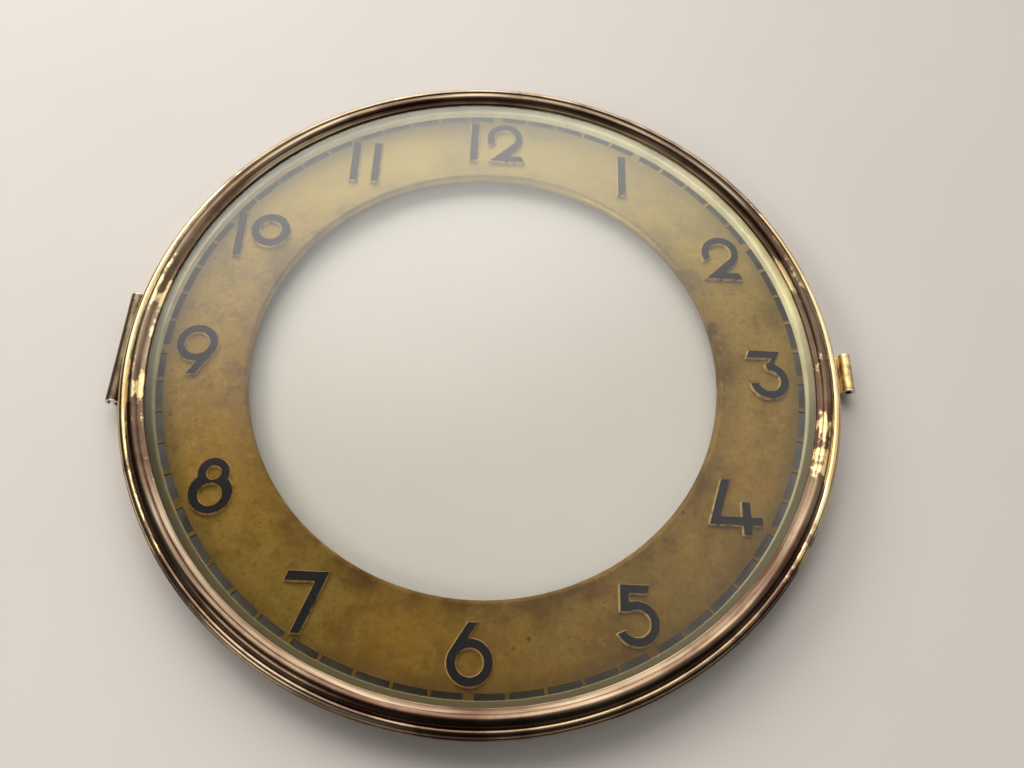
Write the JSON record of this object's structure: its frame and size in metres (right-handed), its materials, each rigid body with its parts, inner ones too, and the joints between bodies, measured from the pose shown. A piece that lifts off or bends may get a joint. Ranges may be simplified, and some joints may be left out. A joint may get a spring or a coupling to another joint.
{
  "type": "clock bezel with chapter ring",
  "caption": "Round hinged brass clock bezel with flat glass, pierced brass chapter ring, raised black hour numerals, hinge knuckle and spring catch.",
  "frame": {"origin": "centre of the rim's rear face, on the axis of its rear rebate", "axes": "+Z out of the dial towards the viewer, +Y towards twelve o'clock, +X towards three o'clock"},
  "size_m": [0.1835, 0.1752, 0.0095],
  "materials": {
    "rim_brass": "polished brass, tarnished brown with worn bright patches",
    "dial_brass": "satin aged brass with brown spots",
    "slip_brass": "matt pale brass",
    "hinge_brass": "rolled sheet brass, darkened in the folds",
    "catch_brass": "dark brown sheet brass",
    "spring_steel": "bright spring steel",
    "numeral_black": "gloss black top with bright brass bevels",
    "glass": "clear flat glass"
  },
  "bodies": {
    "root": {"bezel_rim": "rim_brass", "glass_pane": "glass", "slip_ring": "slip_brass", "retaining_ring": "spring_steel", "dial_ring": "dial_brass", "numeral_1": "numeral_black", "numeral_2": "numeral_black", "numeral_3": "numeral_black", "numeral_4": "numeral_black", "numeral_5": "numeral_black", "numeral_6": "numeral_black", "numeral_7": "numeral_black", "numeral_8": "numeral_black", "numeral_9": "numeral_black", "numeral_10": "numeral_black", "numeral_11": "numeral_black", "numeral_12": "numeral_black", "hinge_knuckle": "hinge_brass", "hinge_rivets": "hinge_brass", "catch_plate": "catch_brass", "catch_rivets": "catch_brass"},
    "catch": {"catch_spring": "spring_steel"}
  },
  "joints": [
    {"name": "catch_flex", "type": "hinge", "parent": "root", "child": "catch", "pos_m": [-0.08877, 0.0001, 0.0041], "axis": [0, -1, 0], "range_deg": [0, 10], "stiffness_Nm_per_rad": 0.08}
  ]
}
